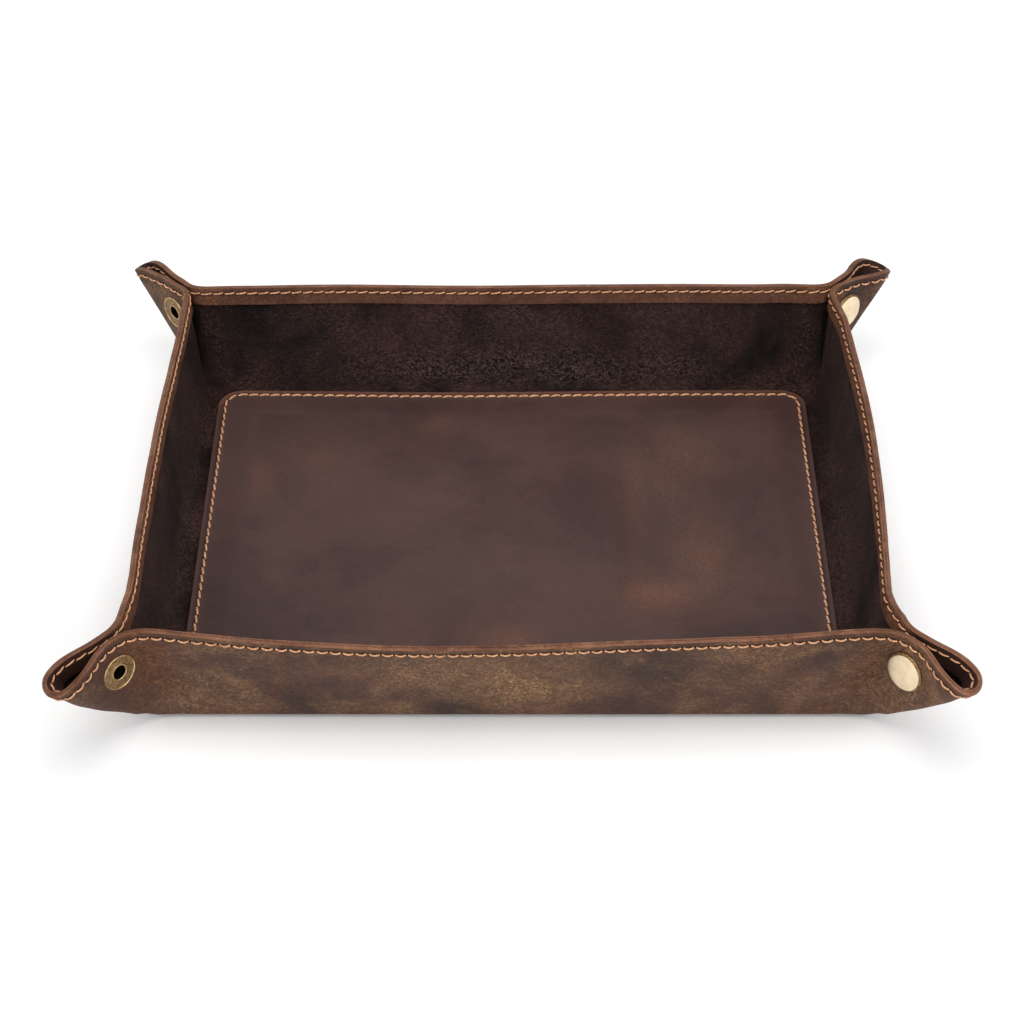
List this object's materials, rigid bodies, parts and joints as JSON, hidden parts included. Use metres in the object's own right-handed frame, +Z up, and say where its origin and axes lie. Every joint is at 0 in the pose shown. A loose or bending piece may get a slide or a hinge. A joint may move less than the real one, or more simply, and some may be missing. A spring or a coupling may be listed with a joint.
{
  "type": "valet tray",
  "caption": "Rectangular leather valet tray with sewn floor panel, leaning walls and snap-pinched corner ears that unsnap so the walls fold down.",
  "frame": {"origin": "middle of the base's underside, on the surface the tray stands on", "axes": "+Z up, +X to the right seen from the front, +Y from the front wall to the back wall"},
  "size_m": [0.3032, 0.2442, 0.045],
  "materials": {
    "body_leather": "oiled pull-up leather, distressed brown, waxy",
    "facing_leather": "smooth brown leather strip with a raw lower edge",
    "panel_leather": "smooth dark brown pull-up leather",
    "grey_board": "plain pressed board",
    "tan_thread": "waxed tan polyester thread",
    "antique_brass": "antique plated, worn at its edges"
  },
  "bodies": {
    "base": {"base_leather": "body_leather", "floor_board": "grey_board", "floor_panel": "panel_leather", "floor_thread": "tan_thread"},
    "front_wall": {"front_wall": "body_leather", "front_facing": "facing_leather", "front_thread": "tan_thread"},
    "back_wall": {"back_wall": "body_leather", "back_facing": "facing_leather", "back_thread": "tan_thread"},
    "left_wall": {"left_wall": "body_leather", "left_facing": "facing_leather", "left_thread": "tan_thread"},
    "right_wall": {"right_wall": "body_leather", "right_facing": "facing_leather", "right_thread": "tan_thread"},
    "front_left_ear_front": {"front_left_ear_front": "body_leather", "front_left_ear_front_facing": "facing_leather", "front_left_ear_front_thread": "tan_thread", "front_left_snap_stud": "antique_brass", "front_left_snap_eyelet": "antique_brass"},
    "front_left_ear_left": {"front_left_ear_left": "body_leather", "front_left_ear_left_facing": "facing_leather", "front_left_ear_left_thread": "tan_thread", "front_left_snap_cap": "antique_brass", "front_left_snap_socket": "antique_brass"},
    "front_right_ear_front": {"front_right_ear_front": "body_leather", "front_right_ear_front_facing": "facing_leather", "front_right_ear_front_thread": "tan_thread", "front_right_snap_cap": "antique_brass", "front_right_snap_socket": "antique_brass"},
    "front_right_ear_right": {"front_right_ear_right": "body_leather", "front_right_ear_right_facing": "facing_leather", "front_right_ear_right_thread": "tan_thread", "front_right_snap_stud": "antique_brass", "front_right_snap_eyelet": "antique_brass"},
    "back_left_ear_back": {"back_left_ear_back": "body_leather", "back_left_ear_back_facing": "facing_leather", "back_left_ear_back_thread": "tan_thread", "back_left_snap_cap": "antique_brass", "back_left_snap_socket": "antique_brass"},
    "back_left_ear_left": {"back_left_ear_left": "body_leather", "back_left_ear_left_facing": "facing_leather", "back_left_ear_left_thread": "tan_thread", "back_left_snap_stud": "antique_brass", "back_left_snap_eyelet": "antique_brass"},
    "back_right_ear_back": {"back_right_ear_back": "body_leather", "back_right_ear_back_facing": "facing_leather", "back_right_ear_back_thread": "tan_thread", "back_right_snap_stud": "antique_brass", "back_right_snap_eyelet": "antique_brass"},
    "back_right_ear_right": {"back_right_ear_right": "body_leather", "back_right_ear_right_facing": "facing_leather", "back_right_ear_right_thread": "tan_thread", "back_right_snap_cap": "antique_brass", "back_right_snap_socket": "antique_brass"}
  },
  "joints": [
    {"name": "front_wall_fold", "type": "hinge", "parent": "base", "child": "front_wall", "pos_m": [0, -0.0915, 0.0007], "axis": [1, 0, 0], "range_deg": [0, 74]},
    {"name": "back_wall_fold", "type": "hinge", "parent": "base", "child": "back_wall", "pos_m": [0, 0.0915, 0.0007], "axis": [-1, 0, 0], "range_deg": [0, 74.05]},
    {"name": "left_wall_fold", "type": "hinge", "parent": "base", "child": "left_wall", "pos_m": [-0.121, 0, 0.0007], "axis": [0, -1, 0], "range_deg": [0, 74.05]},
    {"name": "right_wall_fold", "type": "hinge", "parent": "base", "child": "right_wall", "pos_m": [0.121, 0, 0.0007], "axis": [0, 1, 0], "range_deg": [0, 74.05]},
    {"name": "front_left_pinch_front", "type": "hinge", "parent": "front_wall", "child": "front_left_ear_front", "pos_m": [-0.1169, -0.0915, 0.0007], "axis": [0.1462, 0.1462, -0.9784], "range_deg": [0, 40.01]},
    {"name": "front_left_pinch_left", "type": "hinge", "parent": "left_wall", "child": "front_left_ear_left", "pos_m": [-0.121, -0.0874, 0.0007], "axis": [-0.1462, -0.1462, 0.9784], "range_deg": [0, 40.01]},
    {"name": "front_right_pinch_front", "type": "hinge", "parent": "front_wall", "child": "front_right_ear_front", "pos_m": [0.1169, -0.0915, 0.0007], "axis": [0.1462, -0.1462, 0.9784], "range_deg": [0, 40.01]},
    {"name": "front_right_pinch_right", "type": "hinge", "parent": "right_wall", "child": "front_right_ear_right", "pos_m": [0.121, -0.0874, 0.0007], "axis": [-0.1462, 0.1462, -0.9784], "range_deg": [0, 40.01]},
    {"name": "back_left_pinch_back", "type": "hinge", "parent": "back_wall", "child": "back_left_ear_back", "pos_m": [-0.1169, 0.0915, 0.0007], "axis": [-0.1462, 0.1462, 0.9784], "range_deg": [0, 40.01]},
    {"name": "back_left_pinch_left", "type": "hinge", "parent": "left_wall", "child": "back_left_ear_left", "pos_m": [-0.121, 0.0874, 0.0007], "axis": [0.1462, -0.1462, -0.9784], "range_deg": [0, 40.01]},
    {"name": "back_right_pinch_back", "type": "hinge", "parent": "back_wall", "child": "back_right_ear_back", "pos_m": [0.1169, 0.0915, 0.0007], "axis": [-0.1462, -0.1462, -0.9784], "range_deg": [0, 40.01]},
    {"name": "back_right_pinch_right", "type": "hinge", "parent": "right_wall", "child": "back_right_ear_right", "pos_m": [0.121, 0.0874, 0.0007], "axis": [0.1462, 0.1462, 0.9784], "range_deg": [0, 40.01]}
  ],
  "couplings": [
    {"joint": "back_wall_fold", "follows": "front_wall_fold", "ratio": 1},
    {"joint": "left_wall_fold", "follows": "front_wall_fold", "ratio": 1},
    {"joint": "right_wall_fold", "follows": "front_wall_fold", "ratio": 1},
    {"joint": "front_left_pinch_front", "follows": "front_wall_fold", "ratio": 0.54},
    {"joint": "front_left_pinch_left", "follows": "front_wall_fold", "ratio": 0.54},
    {"joint": "front_right_pinch_front", "follows": "front_wall_fold", "ratio": 0.54},
    {"joint": "front_right_pinch_right", "follows": "front_wall_fold", "ratio": 0.54},
    {"joint": "back_left_pinch_back", "follows": "front_wall_fold", "ratio": 0.54},
    {"joint": "back_left_pinch_left", "follows": "front_wall_fold", "ratio": 0.54},
    {"joint": "back_right_pinch_back", "follows": "front_wall_fold", "ratio": 0.54},
    {"joint": "back_right_pinch_right", "follows": "front_wall_fold", "ratio": 0.54}
  ]
}
